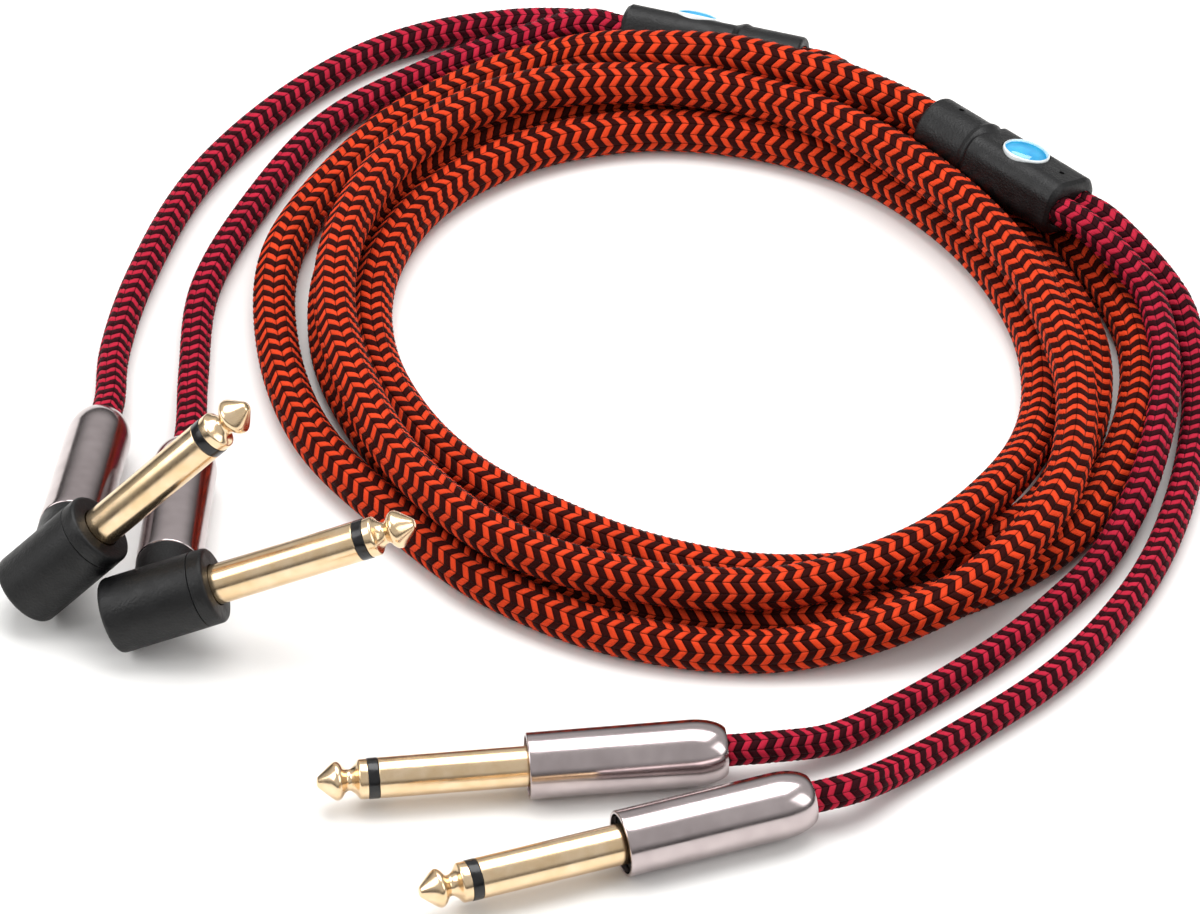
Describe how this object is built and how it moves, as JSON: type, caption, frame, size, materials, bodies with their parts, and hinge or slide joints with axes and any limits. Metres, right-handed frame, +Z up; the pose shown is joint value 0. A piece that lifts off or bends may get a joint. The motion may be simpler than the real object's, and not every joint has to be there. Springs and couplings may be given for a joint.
{
  "type": "instrument cable",
  "caption": "Coiled instrument cable with a braided orange and black trunk, splitters, crimson legs, and straight and right-angle jack plugs with screw-on barrels",
  "frame": {"origin": "on the surface that the cable lies on, under the middle of the box of its plugs and splitters", "axes": "+Z up from the surface; +X from the right-angle plugs towards the straight plugs' cords; +Y from the straight plugs towards the splitters"},
  "size_m": [0.1898, 0.2156, 0.0414],
  "materials": {
    "gold_plate": "polished",
    "dark_chrome": "polished",
    "tinned_metal": "satin",
    "copper": "satin",
    "black_plastic": "matt",
    "gloss_black": "gloss",
    "clear_plastic": "gloss",
    "blue_badge": "gloss",
    "orange_braid": "woven",
    "crimson_braid": "woven"
  },
  "bodies": {
    "cable": {"plug1_tip_contact": "gold_plate", "plug1_tip_insulator": "gloss_black", "plug1_sleeve_contact": "gold_plate", "plug1_face_ring": "black_plastic", "plug1_rear_insulator": "black_plastic", "plug1_tip_lug": "tinned_metal", "plug1_core_wire": "copper", "plug1_cord_clamp": "tinned_metal", "plug2_tip_contact": "gold_plate", "plug2_tip_insulator": "gloss_black", "plug2_sleeve_contact": "gold_plate", "plug2_face_ring": "black_plastic", "plug2_rear_insulator": "black_plastic", "plug2_tip_lug": "tinned_metal", "plug2_core_wire": "copper", "plug2_cord_clamp": "tinned_metal", "plug3_tip_contact": "gold_plate", "plug3_tip_insulator": "gloss_black", "plug3_sleeve_contact": "gold_plate", "plug3_elbow_housing": "black_plastic", "plug3_elbow_nose": "black_plastic", "plug3_rear_insulator": "black_plastic", "plug3_tip_lug": "tinned_metal", "plug3_core_wire": "copper", "plug3_cord_clamp": "tinned_metal", "plug4_tip_contact": "gold_plate", "plug4_tip_insulator": "gloss_black", "plug4_sleeve_contact": "gold_plate", "plug4_elbow_housing": "black_plastic", "plug4_elbow_nose": "black_plastic", "plug4_rear_insulator": "black_plastic", "plug4_tip_lug": "tinned_metal", "plug4_core_wire": "copper", "plug4_cord_clamp": "tinned_metal", "splitter1_lower_shell": "black_plastic", "splitter1_upper_shell": "black_plastic", "splitter1_badge": "blue_badge", "splitter1_splice_ferrule": "copper", "splitter2_lower_shell": "black_plastic", "splitter2_upper_shell": "black_plastic", "splitter2_badge": "blue_badge", "splitter2_splice_ferrule": "copper", "leg1_cord": "crimson_braid", "leg2_cord": "crimson_braid", "leg3_cord": "crimson_braid", "leg4_cord": "crimson_braid", "trunk_lead_in": "orange_braid", "trunk_lead_out": "orange_braid", "trunk_coil": "orange_braid"},
    "plug1_liner_slide": {"plug1_liner": "clear_plastic"},
    "plug1_barrel_screw": {"plug1_barrel": "dark_chrome"},
    "plug2_liner_slide": {"plug2_liner": "clear_plastic"},
    "plug2_barrel_screw": {"plug2_barrel": "dark_chrome"},
    "plug3_liner_slide": {"plug3_liner": "clear_plastic"},
    "plug3_barrel_screw": {"plug3_barrel": "dark_chrome"},
    "plug4_liner_slide": {"plug4_liner": "clear_plastic"},
    "plug4_barrel_screw": {"plug4_barrel": "dark_chrome"}
  },
  "joints": [
    {"name": "plug1_barrel_travel", "type": "slide", "parent": "cable", "child": "plug1_liner_slide", "axis": [0.9934, 0.1149, 0], "range_m": [0, 0.004]},
    {"name": "plug1_barrel_turn", "type": "hinge", "parent": "plug1_liner_slide", "child": "plug1_barrel_screw", "pos_m": [-0.0046, -0.0771, 0.0052], "axis": [0.9934, 0.1149, 0], "range_deg": [0, 1920]},
    {"name": "plug2_barrel_travel", "type": "slide", "parent": "cable", "child": "plug2_liner_slide", "axis": [0.9426, 0.3338, 0], "range_m": [0, 0.004]},
    {"name": "plug2_barrel_turn", "type": "hinge", "parent": "plug2_liner_slide", "child": "plug2_barrel_screw", "pos_m": [0.0096, -0.0945, 0.0052], "axis": [0.9426, 0.3338, 0], "range_deg": [0, 1920]},
    {"name": "plug3_barrel_travel", "type": "slide", "parent": "cable", "child": "plug3_liner_slide", "axis": [0.0624, 0.9926, -0.1045], "range_m": [0, 0.004]},
    {"name": "plug3_barrel_turn", "type": "hinge", "parent": "plug3_liner_slide", "child": "plug3_barrel_screw", "pos_m": [-0.06024, -0.03477, 0.00807], "axis": [0.0624, 0.9926, -0.1045], "range_deg": [0, 1920]},
    {"name": "plug4_barrel_travel", "type": "slide", "parent": "cable", "child": "plug4_liner_slide", "axis": [0.1222, 0.9814, -0.1478], "range_m": [0, 0.004]},
    {"name": "plug4_barrel_turn", "type": "hinge", "parent": "plug4_liner_slide", "child": "plug4_barrel_screw", "pos_m": [-0.07551, -0.02706, 0.00918], "axis": [0.1222, 0.9814, -0.1478], "range_deg": [0, 1920]}
  ],
  "couplings": [
    {"joint": "plug1_barrel_turn", "follows": "plug1_barrel_travel", "rad_per_m": 8377.6},
    {"joint": "plug2_barrel_turn", "follows": "plug2_barrel_travel", "rad_per_m": 8377.6},
    {"joint": "plug3_barrel_turn", "follows": "plug3_barrel_travel", "rad_per_m": 8377.6},
    {"joint": "plug4_barrel_turn", "follows": "plug4_barrel_travel", "rad_per_m": 8377.6}
  ]
}
